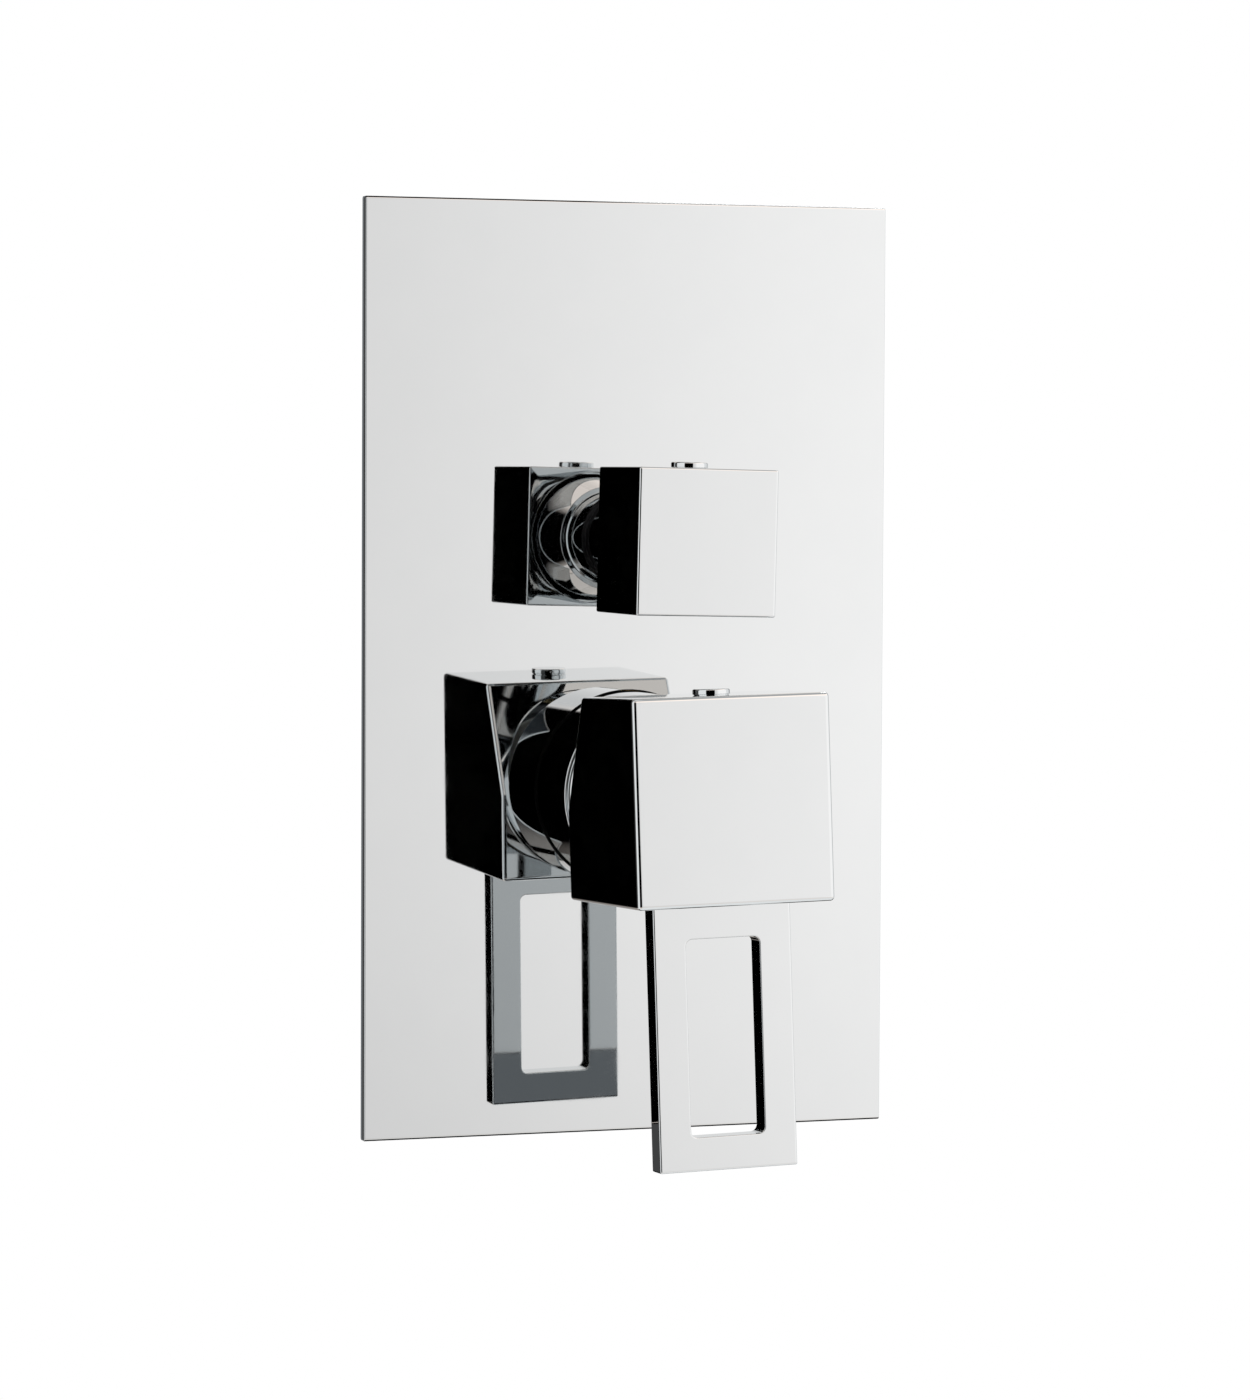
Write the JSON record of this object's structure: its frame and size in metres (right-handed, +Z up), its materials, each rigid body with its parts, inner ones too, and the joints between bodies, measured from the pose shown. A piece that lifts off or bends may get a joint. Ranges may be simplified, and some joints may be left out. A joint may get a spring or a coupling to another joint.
{
  "type": "concealed shower mixer",
  "caption": "Concealed shower mixer: rectangular face plate, square hub with a loop lever on a ceramic mixing cartridge, square diverter knob, and a brass valve body in the wall.",
  "frame": {"origin": "on the finished wall's surface, behind the middle of the face plate", "axes": "+X to the right seen from the front, +Y into the wall, +Z up"},
  "size_m": [0.13, 0.1223, 0.221],
  "materials": {
    "polished_chrome": "mirror-polished chrome plate",
    "cast_brass": "sand-cast brass, machined at the ports and faces",
    "turned_brass": "turned brass",
    "steel": "plain stainless steel",
    "rubber": "moulded black rubber",
    "white_plastic": "moulded acetal",
    "grey_plastic": "moulded glass-filled plastic",
    "ceramic": "lapped alumina"
  },
  "bodies": {
    "wall_body": {"face_plate": "polished_chrome", "plate_gasket": "rubber", "mixer_plate_ring": "rubber", "diverter_plate_ring": "rubber", "mixer_sleeve": "polished_chrome", "diverter_sleeve": "polished_chrome", "valve_body": "cast_brass", "mixer_sleeve_seal": "rubber", "diverter_sleeve_seal": "rubber", "cartridge_nut": "turned_brass", "cartridge_shell": "grey_plastic", "cartridge_base": "white_plastic", "port_seals": "rubber", "fixed_disc": "ceramic", "diverter_housing": "turned_brass", "diverter_seat_seal": "rubber", "diverter_fixed_disc": "ceramic"},
    "turn": {"stem_carrier": "white_plastic", "pivot_pin": "steel"},
    "handle": {"lever_stem": "turned_brass", "mixer_hub": "polished_chrome", "lever_loop": "polished_chrome", "lever_screw": "steel", "hub_grub_screw": "steel", "hub_cap": "polished_chrome"},
    "disc": {"moving_disc": "ceramic", "disc_driver": "white_plastic"},
    "diverter": {"diverter_rotor": "ceramic", "diverter_spindle": "turned_brass", "spindle_seals": "rubber", "diverter_knob": "polished_chrome", "knob_grub_screw": "steel", "knob_cap": "polished_chrome"}
  },
  "joints": [
    {"name": "mixer_turn", "type": "hinge", "parent": "wall_body", "child": "turn", "pos_m": [0, -0.026, -0.0284], "axis": [0, -1, 0], "range_deg": [-51.4, 48.6]},
    {"name": "mixer_lift", "type": "hinge", "parent": "turn", "child": "handle", "pos_m": [0, -0.026, -0.0284], "axis": [-0.9997, 0, -0.0244], "range_deg": [-2, 16]},
    {"name": "disc_slide", "type": "slide", "parent": "turn", "child": "disc", "axis": [0.0244, 0, -0.9997], "range_m": [-0.00056, 0.00448]},
    {"name": "diverter_turn", "type": "hinge", "parent": "wall_body", "child": "diverter", "pos_m": [0, -0.03, 0.0306], "axis": [0, 1, 0], "range_deg": [-1.2, 88.8]}
  ],
  "couplings": [
    {"joint": "disc_slide", "follows": "mixer_lift", "m_per_rad": 0.016}
  ]
}
